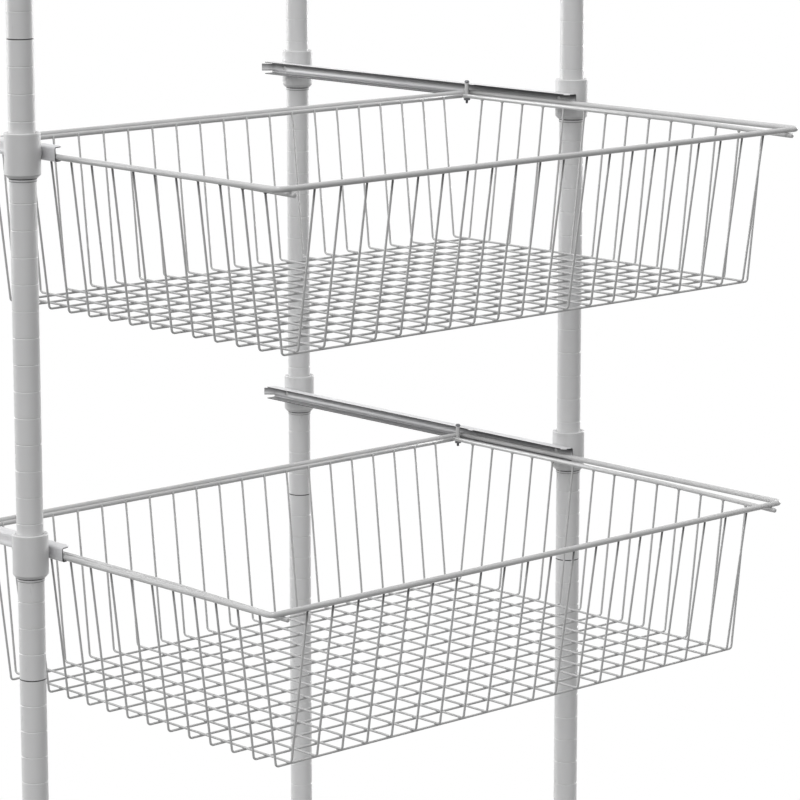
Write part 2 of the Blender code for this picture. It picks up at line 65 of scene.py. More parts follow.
# Places of the further looks in a mesh
EDGE_LOOK = 1                # posts, sleeves and rails
TRACK_LOOK = 2
ROD_LOOK = 1                 # wires
# the wires' outer sides, with the painted shadow of the rods on their tops
SHADED_LOOK = 2

# Facets of round forms
POST_SIDES = 48
MOULDING_SIDES = 64
FOOT_SIDES = 72
SCREW_SIDES = 32
NUT_SIDES = 36
RIVET_SIDES = 24
FRAME_ROD_SIDES = 24
SIDE_ROD_SIDES = 20
STOP_SIDES = 24
WIRE_SIDES = 12
CORNER_STEPS = 10
BEND_STEPS = 7

# Clearances
FIT_GAP = 0.0003
OVERRUN = 0.002              # how far a cutter runs past what it cuts
SINK = 0.0004                # how deep a flat face goes into a round one that it joins

# Posts
POST_X = 0.36195
REAR_Y = 0.37339
ROW_SPACING = 0.4438
FRONT_Y = REAR_Y - ROW_SPACING
POST_RADIUS = 0.0127
POST_WALL = 0.0012
GROOVE_PITCH = 0.0254
GROOVES = 24
SECTION = GROOVE_PITCH * GROOVES
GROOVE_DEPTH = 0.0003
GROOVE_HALF = 0.00055
GROOVE_HOLD = 0.0004
EDGE_ROUND = 0.0004
SPIGOT_LENGTH = 0.030
SPIGOT_ROOT = 0.012
SPIGOT_WALL = 0.0012
BASE_PLUG = 0.014
FOOT_RADIUS = 0.016
FOOT_THICKNESS = 0.006
FOOT_STEM_RADIUS = 0.004
FOOT_STEM_LENGTH = 0.026
FOOT_HEIGHT = 0.012
POST_TOP = FOOT_HEIGHT + 3 * SECTION
THREAD_PITCH = 0.00125
THREAD_DEPTH = 0.0006
FOOT_RIBS = 24
FOOT_RIB_DEPTH = 0.0005
CAP_THICKNESS = 0.004
CAP_PLUG = 0.014
CAP_CHAMFER = 0.001
CAP_ROUND = 0.002
CAP_DOME = 0.0006            # from the rounded edge to the middle

# Collars and sleeves
JOINT_Z = FOOT_HEIGHT + SECTION
COLLAR_GROOVES = {"lower": 4, "upper": 19}
COLLAR_DROP = 0.002          # from its groove down to the collar's lower edge
COLLAR_Z = {
    level: JOINT_Z + groove * GROOVE_PITCH - COLLAR_DROP
    for level, groove in COLLAR_GROOVES.items()
}
COLLAR_HEIGHT = 0.042
COLLAR_RADIUS = 0.0172
LIP_ROUND = 0.0008
COLLAR_FOOT = 0.0028
COLLAR_FOOT_HEIGHT = 0.0032
SEAM_ANGLE = radians(32)
SEAM_HALF = radians(0.8)
SEAM_DEPTH = 0.0002
SLEEVE_BORE = POST_RADIUS + FIT_GAP
SLEEVE_TOP_WALL = 0.0009
SLEEVE_BOTTOM_WALL = 0.0008
SLEEVE_SKIRT_WALL = 0.0002
SLEEVE_SKIRT = 0.0034
SLEEVE_NECK = 0.0012
SLEEVE_RIM = 0.0004
SLEEVE_EDGE = 0.0001
SLEEVE_NECK_WALL = 0.00005
SLEEVE_SHOULDER = 0.0008
SLEEVE_SHORT = 0.0003        # from the sleeve's top to the collar's
SLEEVE_SLIT = 0.0012
PAD_WIDTH = 0.012
PAD_HEIGHT = 0.0075
PAD_STAND = 0.00095
PAD_CORNER = 0.002
RIVET_RADIUS = 0.0025

# Rails
RAIL_RISE = 0.022
RAIL_HEIGHT = 0.014
RAIL_DEPTH = 0.012
RAIL_WALL = 0.001
RAIL_BEND = 0.002
RAIL_PAST_FRONT = 0.0252
RAIL_PAST_REAR = 0.022
RAIL_FRONT = FRONT_Y - RAIL_PAST_FRONT
RAIL_BACK = REAR_Y + RAIL_PAST_REAR
RAIL_NOSE = 0.009
TONGUE_LENGTH = 0.012
TONGUE_HEIGHT = 0.008
EAR_LENGTH = 0.007
EAR_WIDTH = 0.003
RAIL_SOFT_EDGE = 0.00012
RAIL_WEB_X = POST_X - COLLAR_RADIUS - PAD_STAND - FIT_GAP
RAIL_MOUTH_X = RAIL_WEB_X - RAIL_DEPTH

# Baskets, measured from the middle of the frame rod's rear run
FRAME_ROD = 0.0028
SIDE_ROD = 0.0023
WIRE = 0.0011
FRAME_CORNER = 0.0065
WIRE_PITCH = 0.03086
CROSS_WIRES = 14
LONG_WIRES = 20
DEPTH = 0.1486
BEND = 0.0035
SIDE_LEAN = 0.01845
REAR_LEAN = 0.01626
FRONT_LEAN = 0.0241
FULL_PULL_OUT = 0.3115
LOWER_SHORT = 0.0123         # how far the lower basket stands short of its stop
CARRIER_Y = {"upper": REAR_Y - FULL_PULL_OUT, "lower": REAR_Y - FULL_PULL_OUT + LOWER_SHORT}
FRAME_X = RAIL_WEB_X - RAIL_WALL - FIT_GAP - FRAME_ROD
FRAME_ABOVE_RAIL = FRAME_ROD + FIT_GAP + RAIL_WALL - RAIL_HEIGHT / 2
STOP_SLEEVE = 0.0023
STOP_BORE = 0.0018
STOP_EDGE = 0.0002
STOP_SETBACK = 0.0005
STOP_ABOVE = 0.0015          # how far the sleeve stands out above the rail
STOP_BELOW = 0.0006
STOP_BITE = 0.0007           # how deep the sleeve goes into the side rod
STOP_X = RAIL_MOUTH_X - FIT_GAP - STOP_SLEEVE
STOP_Y = -(FRAME_ROD + FIT_GAP + STOP_SLEEVE + STOP_SETBACK)
STOP_TOP = -FRAME_ABOVE_RAIL + RAIL_HEIGHT / 2 + STOP_ABOVE
STOP_BOTTOM = -FRAME_ABOVE_RAIL - RAIL_HEIGHT / 2 - STOP_BELOW
SIDE_ROD_X = STOP_X - (STOP_SLEEVE + SIDE_ROD - STOP_BITE)
SIDE_DROP = 0.0024
ROD_CLEARANCE = FRAME_ROD + FIT_GAP + SIDE_ROD
REAR_ROD_Y = -sqrt(ROD_CLEARANCE ** 2 - SIDE_DROP ** 2)
LONG_Z = -SIDE_DROP - DEPTH
CROSS_Z = LONG_Z - 2 * WIRE - FIT_GAP
FIRST_WIRE = 0.03405
WELD_BITE = 0.001            # how deep the rear rod and the wires go into each other
REAR_TOP_Y = REAR_ROD_Y - (SIDE_ROD + WIRE - WELD_BITE)
REAR_FOOT_Y = REAR_TOP_Y - REAR_LEAN
LAST_WIRE_Y = -(FIRST_WIRE + (CROSS_WIRES - 1) * WIRE_PITCH)
FRONT_MARGIN = 0.006
FRONT_FOOT_Y = LAST_WIRE_Y - FRONT_MARGIN
FRONT_TOP_Y = FRONT_FOOT_Y - FRONT_LEAN
FRAME_FRONT_Y = FRONT_TOP_Y - (FRAME_ROD + FIT_GAP + WIRE)
SIDE_ROD_REAR_Y = -(FRAME_ROD + FIT_GAP)
SLOPE_LENGTH = 0.147
SLOPE_FRONT_Y = FRAME_FRONT_Y + FRAME_ROD
SLOPE_REAR_Y = SLOPE_FRONT_Y + SLOPE_LENGTH
SIDE_ROD_NOSE = 0.00295
SIDE_ROD_FRONT_Y = FRAME_FRONT_Y - FRAME_ROD - SIDE_ROD_NOSE
TOP_RISE = 0.001
ROD_END = 0.0008             # length of the rounding at the ends of rods
WIRE_END = 0.0006

# Welds: half sizes, and how far they sit from the axes of the rods and wires
FRAME_WELD = (0.0016, FRAME_ROD * 1.08, FRAME_ROD * 1.08)
FRAME_WELD_X = 0.060
SIDE_WELD = (0.0018, 0.0023, 0.0016)
SIDE_WELD_IN = 0.0004
REAR_WELD = (0.0021, 0.0016, 0.0018)
REAR_WELD_BACK = 0.0008
REAR_WELD_DROP = 0.0006
FRONT_WELD = (0.0021, 0.0013, 0.0018)
FRONT_WELD_OUT = WIRE * 0.6
FRONT_WELD_DROP = 0.0004
CROSSING_WELD = (0.00165, 0.00165, 0.0011)

# Stop screws
SCREW = 0.0015
SCREW_HEAD = 0.0028
SCREW_HEAD_HEIGHT = 0.0024
SCREW_TAIL = 0.0034
NUT = 0.0037
NUT_HEIGHT = 0.0024
NUT_CHAMFER = 0.0004
SCREW_PITCH = 0.0005
SCREW_THREAD = 0.0002        # depth of its grooves

# Wall brackets
BRACKET_DROP = 0.060
BRACKET_Z = POST_TOP - BRACKET_DROP
BRACKET_REACH = 0.040
BRACKET_RING_WALL = 0.002
BRACKET_RING_HEIGHT = 0.020
BRACKET_ARM = (0.014, 0.012)
BRACKET_PLATE = (0.026, 0.060, 0.003)
BRACKET_HOLE = 0.0025
BRACKET_HOLES_APART = 0.042
BRACKET_CORNER = 0.003
BRACKET_SOFT_EDGE = 0.0004

# Studio
CAMERA_PLACE = (-2.3179, -2.71141, 1.5251)
CAMERA_TURN = (radians(90 - 10.97), 0, radians(-42.64))
CAMERA_LENS = 159.4
CAMERA_SENSOR = 36
CAMERA_CLIP = (0.05, 60)
AMBIENT = 0.43
LAMPS = (                    # name, direction, level, spread in degrees
    ("overhead", (-0.02, 0.05, 1), 0.28, 14),
    ("left_soft", (-1.0, -0.45, 0.8), 0.47, 60),
    ("back_left", (-0.25, 0.97, 0.12), 0.75, 45),
    ("back_right", (0.95, 0.12, 0.12), 0.85, 40),
)
LAMP_DISTANCE = 6.0
FLOOR_RADIUS = 14
FLOOR_FADE = (0.7, 1.35)     # from the middle, where the floor goes over to white
FLOOR_GLOW = 0.56


# Mesh building

def new_mesh(shape, name):
    """Turn a bmesh into a smooth mesh with sharp edges where it turns sharply."""
    bmesh.ops.recalc_face_normals(shape, faces=shape.faces)
    mesh = bpy.data.meshes.new(name)
    shape.to_mesh(mesh)
    shape.free()
    mesh.shade_smooth()
    mesh.set_sharp_from_angle(angle=SHARP_ANGLE)
    return mesh


def quarter(steps):
    """Cosine and sine at even steps over a quarter turn."""
    angles = [pi / 2 * step / steps for step in range(steps + 1)]
    return [(cos(angle), sin(angle)) for angle in angles]


def bridge(shape, rings, closed):
    """Faces between rings of vertices of the same length."""
    pairs = list(zip(rings, rings[1:]))
    if closed:
        pairs.append((rings[-1], rings[0]))
    for near, far in pairs:
        count = len(near)
        for index in range(count):
            after = (index + 1) % count
            corners = [near[index], far[index], far[after], near[after]]
            corners = [c for i, c in enumerate(corners) if c not in corners[:i]]
            if len(corners) > 2:
                shape.faces.new(corners)


def turn(shape, outline, sides, place=(0, 0, 0), angles=None, dent=None):
    """Turn a closed outline of (radius, height) points about a vertical axis at place.

    angles gives the stations of an open or uneven turn. dent(angle) is taken off the radius.
    """
    centre = Vector(place)
    stations = angles or [FULL_TURN * step / sides for step in range(sides)]
    poles = {}
    rings = []
    for angle in stations:
        ring = []
        inset = dent(angle) if dent else 0
        for index, (radius, height) in enumerate(outline):
            if radius == 0:
                if index not in poles:
                    poles[index] = shape.verts.new(centre + Vector((0, 0, height)))
                ring.append(poles[index])
                continue
            reach = radius - inset
            arm = Vector((reach * cos(angle), reach * sin(angle), height))
            ring.append(shape.verts.new(centre + arm))
        rings.append(ring)
    full = angles is None or dent is not None
    bridge(shape, rings, closed=full)
    if not full:
        shape.faces.new(rings[0])
        shape.faces.new(rings[-1])


def rounded_path(corners, radius, steps, closed=False):
    """Points along straight runs, with an arc of the given radius at each inner corner."""
    points = []
    count = len(corners)
    for index, corner in enumerate(corners):
        corner = Vector(corner)
        if not closed and index in (0, count - 1):
            points.append(corner)
            continue
        before = (Vector(corners[index - 1]) - corner).normalized()
        after = (Vector(corners[(index + 1) % count]) - corner).normalized()
        half = before.angle(after) / 2
        middle = corner + (before + after).normalized() * (radius / sin(half))
        start = corner + before * (radius / tan(half)) - middle
        end = corner + after * (radius / tan(half)) - middle
        bend = start.angle(end)
        for step in range(steps + 1):
            share = step / steps
            arm = start * sin((1 - share) * bend) + end * sin(share * bend)
            points.append(middle + arm / sin(bend))
    return points


def sweep(shape, points, radius, sides, closed=False, round_ends=0.0):
    """A round rod along a flat path. round_ends is the length of each end's rounding."""
    points = [Vector(point) for point in points]
    count = len(points)
    plane = Vector((0, 0, 0))
    for index in range(1, count - 1):
        plane += (points[index] - points[index - 1]).cross(points[index + 1] - points[index])
    if plane.length < 1e-12:
        plane = (points[1] - points[0]).orthogonal()
    plane.normalize()
    stations = []
    for index, point in enumerate(points):
        to_here = (point - points[index - 1]).normalized()
        from_here = (points[(index + 1) % count] - point).normalized()
        if not closed and index == 0:
            to_here = from_here
        if not closed and index == count - 1:
            from_here = to_here
        along = (to_here + from_here).normalized()
        stations.append((point, along, 1 / max(along.dot(to_here), cos(pi / 4)), 1.0))
    if round_ends and not closed:
        tips = []
        for (point, along, _, _), way in ((stations[0], 1), (stations[-1], -1)):
            tip = []
            for share in (0.0, 0.35, 0.7, 1.0):
                scale = max(sqrt(1 - (1 - share) ** 2) * 0.9 + 0.1 * share, 0.25)
                tip.append((point + along * (way * round_ends * share), along, 1.0, scale))
            tips.append(tip)
        stations = tips[0] + stations[1:-1] + tips[1][::-1]
    rings = []
    for point, along, stretch, scale in stations:
        across = plane.cross(along)
        ring = []
        for side in range(sides):
            angle = FULL_TURN * (side + 1 / 2) / sides
            offset = across * (cos(angle) * stretch) + plane * sin(angle)
            ring.append(shape.verts.new(point + offset * (radius * scale)))
        rings.append(ring)
    bridge(shape, rings, closed)
    if not closed:
        shape.faces.new(rings[0])
        shape.faces.new(rings[-1])


def bead(shape, place, size):
    """A small rounded weld with the given half sizes."""
    matrix = Matrix.Translation(place) @ Matrix.Diagonal((*size, 1))
    bmesh.ops.create_icosphere(shape, subdivisions=1, radius=1, matrix=matrix)


def prism(shape, outline, start, end, place):
    """Push a flat outline from start to end. place turns (u, v, w) into a point."""
    near = [shape.verts.new(place(u, v, start)) for u, v in outline]
    far = [shape.verts.new(place(u, v, end)) for u, v in outline]
    shape.faces.new(near)
    shape.faces.new(far)
    bridge(shape, [near, far], closed=False)


def rounded_rectangle(width, height, radius, steps):
    """Outline of a rectangle with rounded corners, about the origin."""
    u, v = width / 2, height / 2
    corners = [(-u, -v, 0), (u, -v, 0), (u, v, 0), (-u, v, 0)]
    return [(point.x, point.y) for point in rounded_path(corners, radius, steps, closed=True)]


def block(shape, low, high):
    """A box between two corners."""
    outline = [(low[0], low[1]), (high[0], low[1]), (high[0], high[1]), (low[0], high[1])]
    prism(shape, outline, low[2], high[2], lambda u, v, w: (u, v, w))


def made(name, builder, *inputs):
    """A mesh from a function that fills an empty bmesh."""
    shape = bmesh.new()
    builder(shape, *inputs)
    return new_mesh(shape, name)


def combined(name, base, others, operation, bevel=0.0):
    """Join meshes to a base mesh, or cut them from it, and soften the edges of what is left."""
    tools = bpy.data.collections.new(name + "_tools")
    bpy.context.scene.collection.children.link(tools)
    body = bpy.data.objects.new(name + "_body", base)
    bpy.context.scene.collection.objects.link(body)
    for mesh in others:
        tools.objects.link(bpy.data.objects.new(mesh.name, mesh))
    boolean = body.modifiers.new("combine", "BOOLEAN")
    boolean.operation = operation
    boolean.solver = "EXACT"
    boolean.operand_type = "COLLECTION"
    boolean.collection = tools
    if bevel:
        soften = body.modifiers.new("soften", "BEVEL")
        soften.width = bevel
        soften.segments = 2
        soften.limit_method = "ANGLE"
        soften.angle_limit = radians(40)
    depsgraph = bpy.context.evaluated_depsgraph_get()
    result = bpy.data.meshes.new_from_object(body.evaluated_get(depsgraph))
    result.name = name
    for tool in list(tools.objects):
        bpy.data.objects.remove(tool)
    bpy.data.objects.remove(body)
    bpy.data.collections.remove(tools)
    result.materials.clear()
    result.shade_smooth()
    result.set_sharp_from_angle(angle=SHARP_ANGLE)
    return result


def dressed(mesh, *materials):
    """The mesh with its materials."""
    for material in materials:
        mesh.materials.append(material)
    return mesh


def show(name, mesh, body, nodes, place=(0, 0, 0), turned=0.0):
    """Place a mesh as a piece that rides on a body and stands for CAD nodes."""
    piece = bpy.data.objects.new(name, mesh)
    bpy.context.scene.collection.objects.link(piece)
    piece.location = place
    piece.rotation_euler = (0, 0, turned)
    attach(piece, body)
    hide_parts(*nodes)


# Materials

def node_material(name, colour, roughness, metallic=0.0):
    """A Principled material with plain values, its node tree and its shader."""
    material = bpy.data.materials.new(name)
    material.use_nodes = True
    tree = material.node_tree
    shader = tree.nodes["Principled BSDF"]
    shader.inputs["Base Color"].default_value = (*colour, 1)
    shader.inputs["Roughness"].default_value = roughness
    shader.inputs["Metallic"].default_value = metallic
    return material, tree, shader


def place_nodes(tree, stretch=(1, 1, 1)):
    """Object coordinates, stretched along the axes."""
    where = tree.nodes.new("ShaderNodeTexCoord")
    mapping = tree.nodes.new("ShaderNodeMapping")
    mapping.inputs["Scale"].default_value = stretch
    tree.links.new(where.outputs["Object"], mapping.inputs["Vector"])
    return mapping.outputs["Vector"]


def noise(tree, scale, detail, stretch=(1, 1, 1)):
    """A noise texture's value over the object, from 0 to 1."""
    texture = tree.nodes.new("ShaderNodeTexNoise")
    texture.inputs["Scale"].default_value = scale
    texture.inputs["Detail"].default_value = detail
    tree.links.new(place_nodes(tree, stretch), texture.inputs["Vector"])
    return texture.outputs["Fac"]


def between(tree, value, low, high, start=0.3, end=0.7):
    """A value mapped from start..end to low..high."""
    spread = tree.nodes.new("ShaderNodeMapRange")
    spread.inputs["From Min"].default_value = start
    spread.inputs["From Max"].default_value = end
    spread.inputs["To Min"].default_value = low
    spread.inputs["To Max"].default_value = high
    tree.links.new(value, spread.inputs["Value"])
    return spread.outputs["Result"]


def ramp(tree, value, stops):
    """A colour ramp of (position, colour) stops."""
    made_ramp = tree.nodes.new("ShaderNodeValToRGB")
    elements = made_ramp.color_ramp.elements
    while len(elements) < len(stops):
        elements.new(0.5)
    for element, (position, colour) in zip(elements, stops):
        element.position = position
        element.color = (*colour, 1)
    tree.links.new(value, made_ramp.inputs["Fac"])
    return made_ramp.outputs["Color"]


def arithmetic(tree, operation, first, second):
    """A Math node of two inputs, each a socket or a number."""
    node = tree.nodes.new("ShaderNodeMath")
    node.operation = operation
    for index, value in enumerate((first, second)):
        if isinstance(value, (int, float)):
            node.inputs[index].default_value = value
        else:
            tree.links.new(value, node.inputs[index])
    return node.outputs["Value"]


def bump(tree, shader, heights):
    """Chain bumps of (height, strength, distance) into the shader's normal."""
    normal = None
    for height, strength, distance in heights:
        node = tree.nodes.new("ShaderNodeBump")
        node.inputs["Strength"].default_value = strength
        node.inputs["Distance"].default_value = distance
        tree.links.new(height, node.inputs["Height"])
        if normal:
            tree.links.new(normal, node.inputs["Normal"])
        normal = node.outputs["Normal"]
    tree.links.new(normal, shader.inputs["Normal"])


def mixed(tree, factor, first, second):
    """A colour mix; first and second are sockets or colours."""
    node = tree.nodes.new("ShaderNodeMix")
    node.data_type = "RGBA"

    def socket(sockets, name, kind):
        return [s for s in sockets if s.name == name and s.type == kind][0]

    for name, value in (("A", first), ("B", second)):
        end = socket(node.inputs, name, "RGBA")
        if isinstance(value, tuple):
            end.default_value = (*value, 1)
        else:
            tree.links.new(value, end)
    tree.links.new(factor, socket(node.inputs, "Factor", "VALUE"))
    return socket(node.outputs, "Result", "RGBA")


def enamel_material():
    """Powder coat of the posts: orange peel and faint clouding."""
    material, tree, shader = node_material("post_enamel_look", (0.66, 0.66, 0.67), 0.3)
    cloud = ramp(tree, noise(tree, 14, 4), [
        (0.3, (0.650, 0.650, 0.652)), (0.7, (0.676, 0.676, 0.679)),
    ])
    tree.links.new(cloud, shader.inputs["Base Color"])
    smear = noise(tree, 60, 3, (1, 1, 0.2))
    tree.links.new(between(tree, smear, 0.26, 0.38), shader.inputs["Roughness"])
    peel = noise(tree, 900, 1)
    swell = noise(tree, 120, 2)
    bump(tree, shader, [(peel, 0.12, 0.0002), (swell, 0.08, 0.0006)])
    return material


def coat_material(name, low, high, shade, gloss):
    """Epoxy coat of the wires or rods, a little thicker here and there.

    shade is how dark the painted shadow of the rods is on the wires' tops, and
    gloss is the least roughness.
    """
    middle = (low + high) / 2
    material, tree, shader = node_material(name, (middle, middle, middle), gloss)
    cloud = ramp(tree, noise(tree, 30, 4), [
        (0.3, (low, low, low)), (0.7, (high, high, high)),
    ])
    where = tree.nodes.new("ShaderNodeSeparateXYZ")
    tree.links.new(place_nodes(tree), where.inputs["Vector"])
    # painted shadow of the rods: darker towards the wires' tops, from z -0.020 up to -0.006
    painted_rod_shadow = between(tree, where.outputs["Z"], 0.0, shade, -0.020, -0.006)
    colour = mixed(tree, painted_rod_shadow, cloud, (0.04, 0.04, 0.04))
    tree.links.new(colour, shader.inputs["Base Color"])
    rough = between(tree, noise(tree, 90, 3), gloss, gloss + 0.08)
    tree.links.new(rough, shader.inputs["Roughness"])
    peel = noise(tree, 1400, 1)
    swell = noise(tree, 220, 2)
    bump(tree, shader, [(peel, 0.06, 0.0001), (swell, 0.06, 0.0003)])
    return material


def moulding_material():
    """Moulded plastic: even, with a faint grain and flow marks."""
    material, tree, shader = node_material("moulding_look", (0.64, 0.64, 0.65), 0.4)
    flow = noise(tree, 90, 3, (1, 1, 0.25))
    tree.links.new(ramp(tree, flow, [
        (0.3, (0.61, 0.61, 0.612)), (0.7, (0.645, 0.645, 0.648)),
    ]), shader.inputs["Base Color"])
    rough = between(tree, noise(tree, 200, 2), 0.36, 0.46)
    tree.links.new(rough, shader.inputs["Roughness"])
    bump(tree, shader, [(noise(tree, 2600, 2), 0.15, 0.0001)])
    return material


def galvanised_material():
    """Zinc with faint crystals and drawing marks along the rail."""
    material, tree, shader = node_material("galvanised_look", (0.68, 0.68, 0.69), 0.45, 0.2)
    cells = tree.nodes.new("ShaderNodeTexVoronoi")
    cells.inputs["Scale"].default_value = 160
    tree.links.new(place_nodes(tree), cells.inputs["Vector"])
    grey = tree.nodes.new("ShaderNodeRGBToBW")
    tree.links.new(cells.outputs["Color"], grey.inputs["Color"])
    spangle = ramp(tree, grey.outputs["Val"], [
        (0.2, (0.67, 0.67, 0.68)), (0.8, (0.71, 0.71, 0.72)),
    ])
    streak = noise(tree, 1500, 3, (1, 0.02, 1))
    drawn = between(tree, streak, 0.0, 0.3)
    colour = mixed(tree, drawn, spangle, (0.60, 0.60, 0.61))
    tree.links.new(colour, shader.inputs["Base Color"])
    rough = between(tree, grey.outputs["Val"], 0.34, 0.46, 0.1, 0.9)
    tree.links.new(rough, shader.inputs["Roughness"])
    bump(tree, shader, [(streak, 0.08, 0.00005)])
    return material


def track_material():
    """Inside of the rail: zinc with painted shade, darkest under the top flange, and a painted
    highlight streak low on the web.
    """
    material, tree, shader = node_material("track_painted_shade_look", (0.2, 0.2, 0.21), 0.45, 0.2)
    axes = tree.nodes.new("ShaderNodeSeparateXYZ")
    tree.links.new(place_nodes(tree), axes.inputs["Vector"])
    inner = RAIL_HEIGHT / 2 - RAIL_WALL
    level = between(tree, axes.outputs["Z"], 0.0, 1.0, -inner, inner)
    streak = noise(tree, 1500, 3, (1, 0.02, 1))
    wander = between(tree, streak, -0.03, 0.03)
    # Painted light and shade by height in the channel: a painted highlight streak low on the web,
    # and painted shade growing to near black under the top flange.
    tree.links.new(ramp(tree, arithmetic(tree, "ADD", level, wander), [
        (0.03, (0.33, 0.33, 0.335)), (0.12, (0.27, 0.27, 0.275)), (0.22, (0.40, 0.40, 0.41)),
        (0.36, (0.70, 0.70, 0.71)), (0.50, (0.44, 0.44, 0.45)), (0.63, (0.27, 0.27, 0.275)),
        (0.78, (0.13, 0.13, 0.133)), (0.90, (0.03, 0.03, 0.032)), (0.98, (0.012, 0.012, 0.013)),
    ]), shader.inputs["Base Color"])
    tree.links.new(between(tree, streak, 0.38, 0.52), shader.inputs["Roughness"])
    bump(tree, shader, [(streak, 0.08, 0.00005)])
    return material


def edge_material():
    """Dark edge with fine lines on the rails' cut edges, the posts' ends and the sleeves' gaps:
    partly the darker cut metal, and partly painted shade for the shadow in those edges and gaps.
    """
    material, tree, shader = node_material("cut_edge_and_gap_shade_look", (0.035, 0.035, 0.037), 0.6)
    lines = noise(tree, 2500, 2, (1, 1, 0.1))
    tree.links.new(ramp(tree, lines, [
        (0.3, (0.008, 0.008, 0.009)), (0.7, (0.025, 0.025, 0.027)),
    ]), shader.inputs["Base Color"])
    tree.links.new(between(tree, lines, 0.42, 0.6), shader.inputs["Roughness"])
    bump(tree, shader, [(lines, 0.15, 0.0001)])
    return material


def screw_material():
    """Darkened steel with fine turning marks."""
    material, tree, shader = node_material("dark_steel_look", (0.12, 0.12, 0.13), 0.35, 1.0)
    spots = noise(tree, 700, 3)
    tree.links.new(ramp(tree, spots, [
        (0.3, (0.08, 0.08, 0.085)), (0.7, (0.17, 0.17, 0.18)),
    ]), shader.inputs["Base Color"])
    tree.links.new(between(tree, spots, 0.28, 0.45), shader.inputs["Roughness"])
    bump(tree, shader, [(noise(tree, 3000, 2), 0.1, 0.0001)])
    return material


def foot_material():
    """Grey moulded foot with a dusty, grained skin."""
    material, tree, shader = node_material("foot_look", (0.2, 0.2, 0.21), 0.6)
    dusty = noise(tree, 120, 4)
    tree.links.new(ramp(tree, dusty, [
        (0.3, (0.17, 0.17, 0.18)), (0.75, (0.27, 0.27, 0.275)),
    ]), shader.inputs["Base Color"])
    tree.links.new(between(tree, dusty, 0.5, 0.75), shader.inputs["Roughness"])
    bump(tree, shader, [(noise(tree, 1500, 3), 0.25, 0.0002)])
    return material


# Pieces

def groove_points(top):
    """The outer side of a post section, from its lower end up, with a groove at each step."""
    points = [
        (POST_RADIUS - EDGE_ROUND, 0), (POST_RADIUS, EDGE_ROUND),
        (POST_RADIUS, EDGE_ROUND + GROOVE_HOLD),
    ]
    for index in range(1, GROOVES):
        middle = index * GROOVE_PITCH
        for side in (-1, 1):
            marks = [
                (POST_RADIUS, middle + side * (GROOVE_HALF + GROOVE_HOLD)),
                (POST_RADIUS, middle + side * GROOVE_HALF),
                (POST_RADIUS - GROOVE_DEPTH, middle + side * 0.3 * GROOVE_HALF),
            ]
            points += marks if side < 0 else reversed(marks)
    return points + [
        (POST_RADIUS, top - EDGE_ROUND - GROOVE_HOLD), (POST_RADIUS, top - EDGE_ROUND),
        (POST_RADIUS - EDGE_ROUND, top),
    ]


def post_section(shape, jointed):
    """A grooved tube section with bare sawn ends. A jointed one has a spigot at its foot."""
    top = SECTION - FIT_GAP
    bore = POST_RADIUS - POST_WALL
    outline = groove_points(top) + [(bore, top)]
    if jointed:
        spigot = bore - FIT_GAP
        outline += [
            (bore, SPIGOT_ROOT),
            (spigot - SPIGOT_WALL, SPIGOT_ROOT),
            (spigot - SPIGOT_WALL, -SPIGOT_LENGTH),
            (spigot - EDGE_ROUND, -SPIGOT_LENGTH),
            (spigot, -SPIGOT_LENGTH + EDGE_ROUND),
            (spigot, 0),
        ]
    else:
        plug_bore = FOOT_STEM_RADIUS + FIT_GAP
        outline += [(bore, BASE_PLUG), (plug_bore, BASE_PLUG), (plug_bore, 0)]
    turn(shape, outline, POST_SIDES)
    # The sawn ends get the dark edge look: partly the bare cut metal, partly painted shade for
    # the shadow in the joints.
    for face in shape.faces:
        middle = face.calc_center_median()
        at_bottom = jointed and -FIT_GAP < middle.z < EDGE_ROUND
        at_top = middle.z > top - EDGE_ROUND
        if (at_bottom or at_top) and middle.xy.length > bore:
            face.material_index = EDGE_LOOK


def foot(shape):
    """Levelling foot: a ribbed disc with a threaded stem."""
    def rib(angle):
        return FOOT_RIB_DEPTH * (0.5 - 0.5 * cos(FOOT_RIBS * angle))

    disc = [
        (0, 0),
        (FOOT_RADIUS - 0.001, 0),
        (FOOT_RADIUS, 0.001),
        (FOOT_RADIUS, FOOT_THICKNESS - 0.0015),
        (FOOT_RADIUS - 0.0006, FOOT_THICKNESS - 0.0004),
        (FOOT_RADIUS - 0.002, FOOT_THICKNESS),
        (FOOT_STEM_RADIUS + 0.003, FOOT_THICKNESS),
        (FOOT_STEM_RADIUS + 0.002, FOOT_THICKNESS + 0.0012),
        (0, FOOT_THICKNESS + 0.0012),
    ]
    turn(shape, disc, FOOT_SIDES, dent=rib)
    thread = [(0, FOOT_THICKNESS)]
    height = FOOT_THICKNESS
    end = FOOT_THICKNESS + FOOT_STEM_LENGTH
    while height + THREAD_PITCH < end:
        thread.append((FOOT_STEM_RADIUS - THREAD_DEPTH, height))
        thread.append((FOOT_STEM_RADIUS, height + THREAD_PITCH / 2))
        height += THREAD_PITCH
    thread += [(FOOT_STEM_RADIUS - THREAD_DEPTH, height), (0, height)]
    turn(shape, thread, SCREW_SIDES)


def cap(shape):
    """Post cap: a low dome with a plug."""
    plug = POST_RADIUS - POST_WALL - FIT_GAP
    outline = [
        (0, -CAP_PLUG), (plug - CAP_CHAMFER, -CAP_PLUG), (plug, -CAP_PLUG + CAP_CHAMFER),
        (plug, FIT_GAP), (POST_RADIUS, FIT_GAP),
    ]
    for across, up in quarter(6):
        outline.append((
            POST_RADIUS - CAP_ROUND * (1 - across),
            CAP_THICKNESS - CAP_DOME - CAP_ROUND * (1 - up),
        ))
    outline += [(POST_RADIUS / 2, CAP_THICKNESS - CAP_DOME / 3), (0, CAP_THICKNESS)]
    turn(shape, outline, MOULDING_SIDES)


